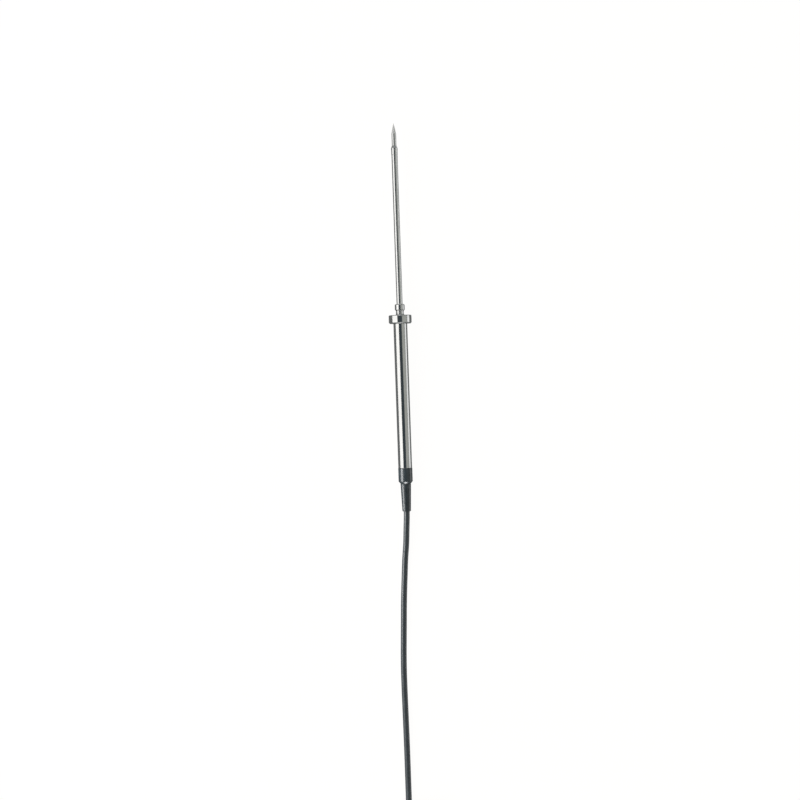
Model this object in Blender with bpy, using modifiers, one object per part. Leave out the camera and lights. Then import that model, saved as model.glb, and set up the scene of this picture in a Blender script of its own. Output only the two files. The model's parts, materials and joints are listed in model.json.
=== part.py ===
"""Insertion probe of a handheld grain meter: a steel lance on a tubular handle, with its cable and plug.

Metres, +Z up. The probe lies on the surface z = 0 with its tip towards +Y. It rests on the rear rim of the
hand guard and on the rear rim of the cap, so its axis rises a little towards the tip. The cable runs on along
-Y to a hank held by a strap, and its plug lies in the middle of the hank.

Stations along the probe are measured from the front face of the hand guard, positive towards the tip.
Stations along the plug are measured from the rear end of its strain relief, positive towards the contacts.
"""

import math

import bpy
from mathutils import Vector

# Fits between pieces
GAP = 0.0003
FIT = 0.00006
SLIP = 0.00015

# Turned pieces
STEPS = 24
PIN_STEPS = 12
SCREW_MERGE = 0.00001

# Sensor tip and shaft
TIP_STATION = 0.1271
TIP_CONE = 0.0072
TIP_RADIUS = 0.0015
TIP_BORE = 0.0012
TIP_WALL = 0.0004
TIP_BORE_CONE = 0.0020
OGIVE_POWER = 1.12
OGIVE_STEPS = 6
TIP_LENGTH = 0.0150
FERRULE_FRONT = TIP_STATION - TIP_LENGTH
FERRULE_CONE = 0.0016
FERRULE_LIP = 0.0010
FERRULE_STEP = 0.0002
FERRULE_LIP_RADIUS = 0.00215
FERRULE_RADIUS = 0.002075
FERRULE_SPIGOT = 0.0053
TIP_SEAT = 0.0008
SHAFT_FRONT = 0.1063
SHAFT_RADIUS = 0.0020
SHAFT_BORE = 0.0016

# Bush and hand guard
COLLAR_RADIUS = 0.00328
COLLAR_FRONT = 0.0073
COLLAR_REAR = 0.0031
COLLAR_CHAMFER = 0.00045
NECK_RADIUS = 0.0026
FLARE_RADIUS = 0.0034
FLARE_LENGTH = 0.0011
FLARE_STEPS = 4
FOOT_RECESS = 0.0005
BUSH_STEM_RADIUS = 0.0029
BUSH_STEM_REAR = -0.0090
SHAFT_SEAT = -0.0060
GUARD_RADIUS = 0.0076
GUARD_REAR = -0.0056
GUARD_FRONT_CHAMFER = 0.0004
GUARD_REAR_CHAMFER = 0.0007
SPIGOT_RADIUS = 0.00389
GUARD_SPIGOT_REAR = -0.0140

# Handle and rear cap
HANDLE_RADIUS = 0.0046
HANDLE_BORE = 0.00395
HANDLE_REAR = -0.1017
CAP_RADIUS = 0.00472
CAP_REAR = -0.1122
CAP_CHAMFER = 0.0014
CAP_CHAMFER_DEPTH = 0.0012
CAP_FRONT_CHAMFER = 0.0002
CAP_SPIGOT_FRONT = -0.0925
RELIEF_SOCKET_RADIUS = 0.0028
RELIEF_SOCKET_FRONT = -0.1060
RELIEF_FRONT_RADIUS = 0.0035
RELIEF_REAR_RADIUS = 0.00285
RELIEF_REAR = -0.1308
RELIEF_ROUND = 0.0003

# O-rings and their grooves
SEAL_WIRE = 0.00026
SEAL_RADIUS = 0.0036
SEAL_SIDES = 8
GROOVE_RADIUS = 0.00328
GROOVE_WIDTH = 0.0007
GUARD_GROOVE = -0.0088
CAP_GROOVE = -0.0964

# Wiring inside the probe
LEAD_RADIUS = 0.00017
LEAD_OFFSET = 0.0004
BORE_FOR_LEAD = 0.00025
INSULATOR_RADIUS = 0.0008
BEAD_RADIUS = 0.0010
BEAD_ROUND = 0.0003
BEAD_LENGTH = 0.0043
BEAD_SETBACK = 0.0009
BEAD_FRONT = TIP_STATION - TIP_CONE - BEAD_SETBACK
BEAD_REAR = BEAD_FRONT - BEAD_LENGTH
BEAD_CLEARANCE = 0.0004
INSULATOR_FRONT = BEAD_REAR - BEAD_CLEARANCE
INSULATOR_REAR = -0.0100
POTTING_FRONT = -0.0143
POTTING_REAR = -0.0240
SPLICE_OFFSET = 0.0014
CRIMP_RADIUS = 0.0007
CRIMP_BORE = 0.00048
CRIMP_FRONT = -0.0330
CRIMP_REAR = -0.0410
SLEEVE_RADIUS = 0.0010
SLEEVE_BORE = 0.00078
SLEEVE_MARGIN = 0.0030
CORE_RADIUS = 0.0004
CORE_OFFSET = 0.0008
WIRE_STRAIGHT = 0.0010
CORE_STRAIGHT = 0.0040
LEAD_IN_CRIMP = 0.0020
JACKET_FRONT = -0.0600
PULL_STOP_FRONT = -0.0870
PULL_STOP_REAR = -0.0921
PULL_STOP_RADIUS = 0.0033

# Cable, its hank and the strap round it
CABLE_DIAMETER = 0.0040
CABLE_RADIUS = CABLE_DIAMETER / 2
CABLE_BORE = 0.00215
TUBE_SPACING = 2.4 * CABLE_DIAMETER
HANK_CENTRE_X = 0.0108
HANK_TOP = -0.3429
HANK_RUN = 20 * CABLE_DIAMETER
HANK_INNER_TURN = 3 * CABLE_DIAMETER
HANK_OUTER_TURN = 4 * CABLE_DIAMETER
HANK_LAYERS = 2
HANK_FOLD_POINTS = 14
STRAP_THICKNESS = 0.0008
STRAP_WIDTH = 0.0100
STRAP_CORNER = 0.00015
STRAP_CORNER_STEPS = 3
STRAP_SLACK = 0.0001
STRAP_FLOOR = 0.00005
STRAP_CENTRE_Y = HANK_TOP - 0.4 * HANK_RUN
HANK_FLOOR = STRAP_FLOOR + STRAP_THICKNESS + STRAP_SLACK

# The cable's own way from the strain relief to the hank: offsets from the exit, and height above the surface
ROUTE = (
    (-0.00015, -0.0050, 0.00403),
    (-0.00050, -0.0110, 0.00373),
    (-0.00110, -0.0216, 0.00296),
    (-0.00212, -0.0323, 0.00229),
    (-0.00284, -0.0429, 0.00208),
    (-0.00353, -0.0536, 0.00205),
    (-0.00407, -0.0640, 0.00205),
    (-0.00449, -0.0750, 0.00205),
    (-0.00492, -0.0855, 0.00205),
    (-0.00530, -0.0960, 0.00205),
    (-0.00553, -0.1070, 0.00205),
    (-0.00552, -0.1200, 0.00205),
    (-0.00535, -0.1400, 0.00205),
    (-0.00522, -0.1600, 0.00205),
    (-0.00520, -0.1800, 0.00205),
    (-0.00520, -0.2020, 0.00205),
)

# Plug
TAIL_LENGTH = 0.0360
TAIL_POINTS = 14
TAIL_FIRST_CLEAR = 6
PLUG_REAR_Y = HANK_TOP - HANK_RUN + TAIL_LENGTH
PLUG_RELIEF_FRONT = 0.0117
PLUG_RELIEF_RADIUS = 0.0029
PLUG_RELIEF_NECK = 0.0032
PLUG_RELIEF_HEAD = 0.0041
PLUG_RELIEF_HEAD_REAR = 0.0084
CLAMP_CHAMFER = 0.0007
CLAMP_REAR = 0.0060
CLAMP_FRONT = 0.0177
CLAMP_SHOULDER = 0.0082
CLAMP_RADIUS = 0.0055
CLAMP_BORE = 0.0045
CLAMP_HOLE = 0.0034
BODY_REAR = 0.0120
BODY_STEP = 0.0180
BODY_SHOULDER = 0.0270
BODY_FRONT = 0.0395
BODY_THREAD_RADIUS = 0.0044
BODY_RADIUS = 0.0053
BARREL_RADIUS = 0.0046
BARREL_BORE = 0.0039
CORE_SPACE_BORE = 0.0036
CABLE_END = 0.0140
RING_GROOVE_REAR = 0.0311
RING_GROOVE_FRONT = 0.0319
RING_GROOVE_RADIUS = 0.0042
RING_OUTER = 0.0052
RING_THICKNESS = 0.0006
RING_OPENING_DEG = 40
RING_STEPS = 28
NUT_REAR = 0.0272
NUT_LIP_FRONT = 0.0308
NUT_FRONT = 0.0450
NUT_RADIUS = 0.0065
NUT_BORE = 0.0055
NUT_CHAMFER = 0.0005
PLUG_FLOOR = 0.00005
PLUG_HEIGHT = NUT_RADIUS + PLUG_FLOOR
INSERT_REAR = 0.0290
INSERT_FRONT = 0.0350
INSERT_RADIUS = 0.0038
PIN_RADIUS = 0.0005
PIN_HOLE = 0.0006
PIN_CIRCLE = 0.0019
PIN_COUNT = 4
PIN_REAR = 0.0275
PIN_FRONT = 0.0388
PIN_NOSE = 0.0003
PLUG_CORE_STRAIGHT = 0.0020
PIN_WIRE_STRAIGHT = 0.0030

# Where the probe lies: it leans on the guard's rear rim and the cap's rear rim
GUARD_RIM = GUARD_REAR + GUARD_REAR_CHAMFER
CAP_RIM = CAP_REAR + CAP_CHAMFER
TILT = math.atan2(GUARD_RADIUS - CAP_RADIUS, GUARD_RIM - CAP_RIM)
PROBE_HEIGHT = GUARD_RADIUS * math.cos(TILT) - GUARD_RIM * math.sin(TILT)
PROBE_Y = (
    RELIEF_REAR_RADIUS * math.sin(TILT) - (TIP_STATION + RELIEF_REAR) * math.cos(TILT)
) / 2

COLOURS = {
    "polished_steel": ((0.62, 0.62, 0.61), 0.16, 1.0),
    "satin_steel": ((0.50, 0.50, 0.49), 0.32, 1.0),
    "black_plastic": ((0.018, 0.024, 0.027), 0.38, 0.0),
    "black_rubber": ((0.018, 0.024, 0.027), 0.62, 0.0),
    "cable_jacket": ((0.023, 0.029, 0.032), 0.45, 0.0),
    "strap_fabric": ((0.022, 0.022, 0.024), 0.90, 0.0),
    "ceramic": ((0.78, 0.76, 0.70), 0.55, 0.0),
    "potting_resin": ((0.11, 0.07, 0.03), 0.30, 0.0),
    "tinned_wire": ((0.66, 0.64, 0.60), 0.30, 1.0),
    "core_insulation": ((0.55, 0.04, 0.03), 0.45, 0.0),
    "nickel_plate": ((0.58, 0.56, 0.52), 0.24, 1.0),
    "gold_contact": ((0.83, 0.61, 0.26), 0.22, 1.0),
    "plug_insert": ((0.05, 0.05, 0.05), 0.50, 0.0),
    "glass_bead": ((0.12, 0.16, 0.10), 0.15, 0.0),
}


def clear_scene():
    for obj in list(bpy.data.objects):
        bpy.data.objects.remove(obj, do_unlink=True)


def new_collection(name):
    found = bpy.data.collections.new(name)
    bpy.context.scene.collection.children.link(found)
    return found


def new_material(name, colour, roughness, metallic):
    material = bpy.data.materials.new(name)
    material.use_nodes = True
    shader = material.node_tree.nodes["Principled BSDF"]
    shader.inputs["Base Color"].default_value = (*colour, 1.0)
    shader.inputs["Roughness"].default_value = roughness
    shader.inputs["Metallic"].default_value = metallic
    return material


def new_axis(name, location, rotation_x):
    """An empty whose local +Z is the axis of the turned pieces parented to it."""
    axis = bpy.data.objects.new(name, None)
    axis.location = location
    axis.rotation_euler = (rotation_x, 0.0, 0.0)
    PROBE.objects.link(axis)
    return axis


def place(name, data, material, parent=None, location=(0.0, 0.0, 0.0)):
    obj = bpy.data.objects.new(name, data)
    data.materials.append(MATERIALS[material])
    obj.location = location
    obj.parent = parent
    PROBE.objects.link(obj)
    return obj


def turned(name, outline, material, parent, closed=True, steps=STEPS, location=(0.0, 0.0, 0.0)):
    """A turned piece. The outline holds (radius, station) points, down the outer side and up the bore."""
    count = len(outline)
    edges = [(i, i + 1) for i in range(count - 1)]
    if closed:
        edges.append((count - 1, 0))
    mesh = bpy.data.meshes.new(name)
    mesh.from_pydata([(radius, 0.0, station) for radius, station in outline], edges, [])
    obj = place(name, mesh, material, parent, location)
    screw = obj.modifiers.new("Turn", "SCREW")
    screw.steps = steps
    screw.render_steps = steps
    screw.use_merge_vertices = True
    screw.merge_threshold = SCREW_MERGE
    return obj


def sleeve(name, outer, bore, front, rear, material, parent, **options):
    """A plain tube between two stations."""
    outline = [(outer, front), (outer, rear), (bore, rear), (bore, front)]
    return turned(name, outline, material, parent, **options)


def seal(name, station, parent):
    """An O-ring on the probe's axis."""
    outline = []
    for i in range(SEAL_SIDES):
        turn = -2 * math.pi * i / SEAL_SIDES
        outline.append((SEAL_RADIUS + SEAL_WIRE * math.cos(turn), station + SEAL_WIRE * math.sin(turn)))
    return turned(name, outline, "black_rubber", parent)


def circle(radius, count, centre=(0.0, 0.0)):
    return [
        (
            centre[0] + radius * math.cos(2 * math.pi * i / count),
            centre[1] + radius * math.sin(2 * math.pi * i / count),
        )
        for i in range(count)
    ]


def outlined(name, outlines, thickness, material, parent=None, location=(0.0, 0.0, 0.0), rotation=None):
    """A flat piece of that thickness about its middle, from closed outlines: its edge, then its holes."""
    curve = bpy.data.curves.new(name, "CURVE")
    curve.dimensions = "2D"
    curve.fill_mode = "BOTH"
    curve.extrude = thickness / 2
    for outline in outlines:
        spline = curve.splines.new("POLY")
        spline.points.add(len(outline) - 1)
        for point, (x, y) in zip(spline.points, outline):
            point.co = (x, y, 0.0, 1.0)
        spline.use_cyclic_u = True
    obj = place(name, curve, material, parent, location)
    if rotation:
        obj.rotation_euler = rotation
    return obj


def bored_bar(name, radius, holes, front, rear, material, parent):
    """A round bar between two stations with bores along it. Each hole is (x, y, radius)."""
    outlines = [circle(radius, STEPS)]
    outlines += [circle(size, STEPS // 2, (x, y)) for x, y, size in holes]
    middle = (0.0, 0.0, (front + rear) / 2)
    return outlined(name, outlines, front - rear, material, parent, middle)


def tube(name, points, radius, material, parent=None, resolution=2):
    """A round wire or cable along a list of points."""
    curve = bpy.data.curves.new(name, "CURVE")
    curve.dimensions = "3D"
    curve.bevel_depth = radius
    curve.bevel_resolution = resolution
    curve.use_fill_caps = True
    spline = curve.splines.new("POLY")
    spline.points.add(len(points) - 1)
    for point, co in zip(spline.points, points):
        point.co = (*co, 1.0)
    return place(name, curve, material, parent)


def smooth(points, spacing):
    """Points about as far apart as said, on a smooth curve through the given ones."""
    points = [Vector(p) for p in points]
    ends = [2 * points[0] - points[1]] + points + [2 * points[-1] - points[-2]]
    found = [points[0]]
    for i in range(1, len(ends) - 2):
        a, b, c, d = ends[i - 1 : i + 3]
        pieces = max(1, round((c - b).length / spacing))
        for k in range(1, pieces + 1):
            t = k / pieces
            found.append(
                0.5
                * (
                    2 * b
                    + (c - a) * t
                    + (2 * a - 5 * b + 4 * c - d) * t**2
                    + (3 * b - a - 3 * c + d) * t**3
                )
            )
    return found


def eased(t):
    """0 to 1 with a level start and end."""
    return t * t * (3 - 2 * t)


def on_probe(x, station):
    """The place of a point of the probe's axis plane, moved x to its right."""
    return Vector((x, PROBE_Y + station * math.cos(TILT), PROBE_HEIGHT + station * math.sin(TILT)))


def make_tip(axis):
    ogive = []
    for i in range(OGIVE_STEPS + 1):
        t = i / OGIVE_STEPS
        ogive.append((TIP_RADIUS * (1 - (1 - t) ** OGIVE_POWER), TIP_STATION - TIP_CONE * t))
    rear = SHAFT_FRONT + TIP_SEAT + FIT
    bore_front = TIP_STATION - TIP_CONE - TIP_WALL
    inside = [(TIP_BORE, rear), (TIP_BORE, bore_front), (0.0, bore_front + TIP_BORE_CONE)]
    turned("tip_sleeve", ogive + [(TIP_RADIUS, rear)] + inside, "polished_steel", axis, closed=False)
    bead = [
        (0.0, BEAD_FRONT),
        (BEAD_RADIUS - BEAD_ROUND, BEAD_FRONT),
        (BEAD_RADIUS, BEAD_FRONT - BEAD_ROUND),
        (BEAD_RADIUS, BEAD_REAR + BEAD_ROUND),
        (BEAD_RADIUS - BEAD_ROUND, BEAD_REAR),
        (0.0, BEAD_REAR),
    ]
    turned("sensor_bead", bead, "glass_bead", axis, closed=False)


def make_ferrule(axis):
    spigot_radius = SHAFT_BORE - FIT
    spigot_rear = SHAFT_FRONT - FERRULE_SPIGOT
    lip_front = FERRULE_FRONT - FERRULE_CONE
    lip_rear = lip_front - FERRULE_LIP
    seat = SHAFT_FRONT + TIP_SEAT
    outline = [
        (TIP_RADIUS + 2 * FIT, FERRULE_FRONT),
        (FERRULE_LIP_RADIUS, lip_front),
        (FERRULE_LIP_RADIUS, lip_rear),
        (FERRULE_RADIUS, lip_rear - FERRULE_STEP),
        (FERRULE_RADIUS, SHAFT_FRONT + FIT),
        (spigot_radius, SHAFT_FRONT + FIT),
        (spigot_radius, spigot_rear),
        (INSULATOR_RADIUS + SLIP, spigot_rear),
        (INSULATOR_RADIUS + SLIP, seat),
        (TIP_RADIUS + FIT, seat),
        (TIP_RADIUS + FIT, FERRULE_FRONT),
    ]
    turned("tip_ferrule", outline, "polished_steel", axis)


def make_shaft(axis):
    sleeve("shaft_tube", SHAFT_RADIUS, SHAFT_BORE, SHAFT_FRONT, SHAFT_SEAT + FIT, "polished_steel", axis)
    bore = SHAFT_RADIUS + FIT
    flare = []
    width = FLARE_RADIUS - NECK_RADIUS
    for i in range(FLARE_STEPS + 1):
        turn = math.radians(90.0 * i / FLARE_STEPS)
        flare.append((FLARE_RADIUS - width * math.cos(turn), FLARE_LENGTH * (1 - math.sin(turn))))
    outline = [
        (COLLAR_RADIUS - COLLAR_CHAMFER, COLLAR_FRONT),
        (COLLAR_RADIUS, COLLAR_FRONT - COLLAR_CHAMFER),
        (COLLAR_RADIUS, COLLAR_REAR + COLLAR_CHAMFER),
        (COLLAR_RADIUS - COLLAR_CHAMFER, COLLAR_REAR),
        (NECK_RADIUS, COLLAR_REAR),
        *flare,
        (FLARE_RADIUS, FIT - FOOT_RECESS),
        (BUSH_STEM_RADIUS, FIT - FOOT_RECESS),
        (BUSH_STEM_RADIUS, BUSH_STEM_REAR),
        (INSULATOR_RADIUS + 2 * SLIP, BUSH_STEM_REAR),
        (INSULATOR_RADIUS + 2 * SLIP, SHAFT_SEAT),
        (bore, SHAFT_SEAT),
        (bore, COLLAR_FRONT),
    ]
    turned("shaft_bush", outline, "polished_steel", axis)


def groove(station):
    """The points of an O-ring groove in a spigot, from its front to its rear."""
    front = station + GROOVE_WIDTH / 2
    rear = station - GROOVE_WIDTH / 2
    return [(SPIGOT_RADIUS, front), (GROOVE_RADIUS, front), (GROOVE_RADIUS, rear), (SPIGOT_RADIUS, rear)]


def make_guard(axis):
    bore = BUSH_STEM_RADIUS + FIT
    outline = [
        (GUARD_RADIUS - GUARD_FRONT_CHAMFER, 0.0),
        (GUARD_RADIUS, -GUARD_FRONT_CHAMFER),
        (GUARD_RADIUS, GUARD_RIM),
        (GUARD_RADIUS - GUARD_REAR_CHAMFER, GUARD_REAR),
        (SPIGOT_RADIUS, GUARD_REAR),
        *groove(GUARD_GROOVE),
        (SPIGOT_RADIUS, GUARD_SPIGOT_REAR),
        (bore, GUARD_SPIGOT_REAR),
        (bore, -FOOT_RECESS),
        (FLARE_RADIUS + FIT, -FOOT_RECESS),
        (FLARE_RADIUS + FIT, 0.0),
    ]
    turned("hand_guard", outline, "polished_steel", axis)
    seal("guard_seal", GUARD_GROOVE, axis)


def make_handle(axis):
    front = GUARD_REAR - FIT
    sleeve("handle_tube", HANDLE_RADIUS, HANDLE_BORE, front, HANDLE_REAR, "polished_steel", axis)


def make_cap(axis):
    socket = RELIEF_SOCKET_RADIUS + FIT
    shoulder = HANDLE_REAR - FIT
    outline = [
        (SPIGOT_RADIUS, CAP_SPIGOT_FRONT),
        *groove(CAP_GROOVE),
        (SPIGOT_RADIUS, shoulder),
        (CAP_RADIUS - CAP_FRONT_CHAMFER, shoulder),
        (CAP_RADIUS, shoulder - CAP_FRONT_CHAMFER),
        (CAP_RADIUS, CAP_RIM),
        (CAP_RADIUS - CAP_CHAMFER_DEPTH, CAP_REAR),
        (socket, CAP_REAR),
        (socket, RELIEF_SOCKET_FRONT),
        (CABLE_BORE, RELIEF_SOCKET_FRONT),
        (CABLE_BORE, CAP_SPIGOT_FRONT),
    ]
    turned("rear_cap", outline, "black_plastic", axis)
    seal("cap_seal", CAP_GROOVE, axis)


def make_strain_relief(axis):
    shoulder = CAP_REAR - FIT
    outline = [
        (RELIEF_SOCKET_RADIUS, RELIEF_SOCKET_FRONT - FIT),
        (RELIEF_SOCKET_RADIUS, shoulder),
        (RELIEF_FRONT_RADIUS - RELIEF_ROUND, shoulder),
        (RELIEF_FRONT_RADIUS, shoulder - RELIEF_ROUND),
        (RELIEF_REAR_RADIUS, RELIEF_REAR + RELIEF_ROUND),
        (RELIEF_REAR_RADIUS - RELIEF_ROUND, RELIEF_REAR),
        (CABLE_BORE, RELIEF_REAR),
        (CABLE_BORE, RELIEF_SOCKET_FRONT - FIT),
    ]
    turned("strain_relief", outline, "black_rubber", axis)


def make_wiring(axis):
    """The sensor's two leads, their joints to the cable's cores, and the cable's end in the handle."""
    both = (-1, 1)
    holes = [(side * LEAD_OFFSET, 0.0, BORE_FOR_LEAD) for side in both]
    bored_bar(
        "lead_insulator", INSULATOR_RADIUS, holes, INSULATOR_FRONT, INSULATOR_REAR, "ceramic", axis
    )
    bored_bar(
        "front_potting", SPIGOT_RADIUS, holes, POTTING_FRONT, POTTING_REAR, "potting_resin", axis
    )
    middle = (CRIMP_FRONT + CRIMP_REAR) / 2
    for number, side in enumerate(both, 1):
        splice = (side * SPLICE_OFFSET, 0.0, 0.0)
        lead = [
            (side * LEAD_OFFSET, 0.0, BEAD_REAR - GAP / 2),
            (side * LEAD_OFFSET, 0.0, POTTING_REAR - WIRE_STRAIGHT),
            (side * SPLICE_OFFSET, 0.0, CRIMP_FRONT + LEAD_IN_CRIMP),
            (side * SPLICE_OFFSET, 0.0, middle + GAP),
        ]
        tube(f"sensor_lead_{number}", lead, LEAD_RADIUS, "tinned_wire", axis, resolution=1)
        core = [
            (side * SPLICE_OFFSET, 0.0, middle - GAP),
            (side * SPLICE_OFFSET, 0.0, CRIMP_REAR - SLEEVE_MARGIN - WIRE_STRAIGHT),
            (side * CORE_OFFSET, 0.0, JACKET_FRONT + CORE_STRAIGHT),
            (side * CORE_OFFSET, 0.0, JACKET_FRONT + GAP),
        ]
        tube(f"cable_core_{number}", core, CORE_RADIUS, "core_insulation", axis)
        sleeve(
            f"splice_crimp_{number}", CRIMP_RADIUS, CRIMP_BORE, CRIMP_FRONT, CRIMP_REAR,
            "tinned_wire", axis, location=splice,
        )
        sleeve(
            f"splice_sleeve_{number}", SLEEVE_RADIUS, SLEEVE_BORE, CRIMP_FRONT + SLEEVE_MARGIN,
            CRIMP_REAR - SLEEVE_MARGIN, "black_rubber", axis, location=splice,
        )
    inner = [(0.0, 0.0, JACKET_FRONT), (0.0, 0.0, RELIEF_REAR)]
    tube("cable_in_handle", inner, CABLE_RADIUS, "cable_jacket", axis)
    sleeve(
        "pull_stop", PULL_STOP_RADIUS, CABLE_BORE, PULL_STOP_FRONT, PULL_STOP_REAR, "satin_steel", axis
    )


def stadium(turn, count=HANK_FOLD_POINTS):
    """An outline of two straight runs and two half circles of the given radius, about the hank's middle."""
    half = HANK_RUN / 2
    outline = []
    for end in (1, -1):
        for i in range(count + 1):
            angle = math.pi * i / count + (0.0 if end > 0 else math.pi)
            outline.append((turn * math.cos(angle), end * half + turn * math.sin(angle)))
    return outline


def make_cable():
    """The cable from the relief to the hank, the hank's outer shape, and the end that goes to the plug."""
    leave = on_probe(0.0, RELIEF_REAR)
    along = on_probe(0.0, RELIEF_REAR - GAP) - leave
    route = [leave + along]
    route += [Vector((leave.x + x, leave.y + y, z)) for x, y, z in ROUTE]
    tube("cable_run", smooth(route, TUBE_SPACING), CABLE_RADIUS, "cable_jacket")

    outer = HANK_OUTER_TURN + CABLE_RADIUS
    inner = HANK_INNER_TURN - CABLE_RADIUS
    height = HANK_LAYERS * CABLE_DIAMETER
    middle = (HANK_CENTRE_X, HANK_TOP - HANK_RUN / 2, HANK_FLOOR + height / 2)
    outlined("cable_hank", [stadium(outer), stadium(inner)], height, "cable_jacket", location=middle)

    start = Vector((HANK_CENTRE_X + HANK_INNER_TURN, HANK_TOP - HANK_RUN, HANK_FLOOR + CABLE_RADIUS))
    end = Vector((HANK_CENTRE_X, PLUG_REAR_Y, PLUG_HEIGHT))
    tail = []
    # The first points lie within the hank's solid.
    for i in range(TAIL_FIRST_CLEAR, TAIL_POINTS + 1):
        t = i / TAIL_POINTS
        tail.append(
            (
                start.x + (end.x - start.x) * eased(t),
                start.y + (end.y - start.y) * t,
                start.z + (end.z - start.z) * eased(t),
            )
        )
    tail.append((end.x, PLUG_REAR_Y + CABLE_END, end.z))
    tube("cable_tail", tail, CABLE_RADIUS, "cable_jacket")


def make_strap():
    """The strap round the hank's left bundle, which passes through the hank's middle."""
    width = HANK_OUTER_TURN - HANK_INNER_TURN + CABLE_DIAMETER
    height = HANK_LAYERS * CABLE_DIAMETER
    centre_x = HANK_CENTRE_X - (HANK_OUTER_TURN + HANK_INNER_TURN) / 2

    def band(grow, corner):
        half_x = width / 2 + STRAP_SLACK + grow
        half_z = height / 2 + STRAP_SLACK + grow
        outline = []
        for quarter, (side_x, side_z) in enumerate(((1, 1), (-1, 1), (-1, -1), (1, -1))):
            for i in range(STRAP_CORNER_STEPS + 1):
                turn = math.radians(90.0 * (quarter + i / STRAP_CORNER_STEPS))
                outline.append(
                    (
                        side_x * (half_x - corner) + corner * math.cos(turn),
                        side_z * (half_z - corner) + corner * math.sin(turn),
                    )
                )
        return outline

    outlined(
        "cable_tie",
        [band(STRAP_THICKNESS, STRAP_CORNER + STRAP_THICKNESS), band(0.0, STRAP_CORNER)],
        STRAP_WIDTH,
        "strap_fabric",
        location=(centre_x, STRAP_CENTRE_Y, HANK_FLOOR + height / 2),
        rotation=(math.radians(90.0), 0.0, 0.0),
    )


def make_plug_shell(axis):
    relief = [
        (PLUG_RELIEF_HEAD, PLUG_RELIEF_FRONT),
        (PLUG_RELIEF_HEAD, PLUG_RELIEF_HEAD_REAR),
        (PLUG_RELIEF_NECK, PLUG_RELIEF_HEAD_REAR),
        (PLUG_RELIEF_NECK, CLAMP_REAR),
        (PLUG_RELIEF_RADIUS, RELIEF_ROUND),
        (PLUG_RELIEF_RADIUS - RELIEF_ROUND, 0.0),
        (CABLE_BORE, 0.0),
        (CABLE_BORE, PLUG_RELIEF_FRONT),
    ]
    turned("plug_relief", relief, "black_rubber", axis)
    clamp = [
        (CLAMP_RADIUS, CLAMP_FRONT),
        (CLAMP_RADIUS, CLAMP_REAR + CLAMP_CHAMFER),
        (CLAMP_RADIUS - CLAMP_CHAMFER, CLAMP_REAR),
        (CLAMP_HOLE, CLAMP_REAR),
        (CLAMP_HOLE, CLAMP_SHOULDER),
        (CLAMP_BORE, CLAMP_SHOULDER),
        (CLAMP_BORE, CLAMP_FRONT),
    ]
    turned("clamp_nut", clamp, "nickel_plate", axis)
    body = [
        (BARREL_RADIUS, BODY_FRONT),
        (BARREL_RADIUS, RING_GROOVE_FRONT),
        (RING_GROOVE_RADIUS, RING_GROOVE_FRONT),
        (RING_GROOVE_RADIUS, RING_GROOVE_REAR),
        (BARREL_RADIUS, RING_GROOVE_REAR),
        (BARREL_RADIUS, BODY_SHOULDER),
        (BODY_RADIUS, BODY_SHOULDER),
        (BODY_RADIUS, BODY_STEP),
        (BODY_THREAD_RADIUS, BODY_STEP),
        (BODY_THREAD_RADIUS, BODY_REAR),
        (CORE_SPACE_BORE, BODY_REAR),
        (CORE_SPACE_BORE, INSERT_REAR - GAP),
        (BARREL_BORE, INSERT_REAR - GAP),
        (BARREL_BORE, BODY_FRONT),
    ]
    turned("plug_body", body, "nickel_plate", axis)


def make_coupling(axis):
    """The screw ring that turns on the plug, and the open ring that keeps it there."""
    lip = BARREL_RADIUS + SLIP
    nut = [
        (NUT_RADIUS - NUT_CHAMFER, NUT_FRONT),
        (NUT_RADIUS, NUT_FRONT - NUT_CHAMFER),
        (NUT_RADIUS, NUT_REAR + NUT_CHAMFER),
        (NUT_RADIUS - NUT_CHAMFER, NUT_REAR),
        (lip, NUT_REAR),
        (lip, NUT_LIP_FRONT),
        (NUT_BORE, NUT_LIP_FRONT),
        (NUT_BORE, NUT_FRONT),
    ]
    turned("coupling_nut", nut, "nickel_plate", axis)
    inner = RING_GROOVE_RADIUS + FIT
    start = math.radians(90.0 + RING_OPENING_DEG / 2)
    sweep = math.radians(360.0 - RING_OPENING_DEG)
    turns = [start + sweep * i / RING_STEPS for i in range(RING_STEPS + 1)]
    outline = [(RING_OUTER * math.cos(a), RING_OUTER * math.sin(a)) for a in turns]
    outline += [(inner * math.cos(a), inner * math.sin(a)) for a in reversed(turns)]
    middle = (0.0, 0.0, (RING_GROOVE_REAR + RING_GROOVE_FRONT) / 2)
    outlined("retaining_ring", [outline], RING_THICKNESS, "satin_steel", axis, middle)


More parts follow.
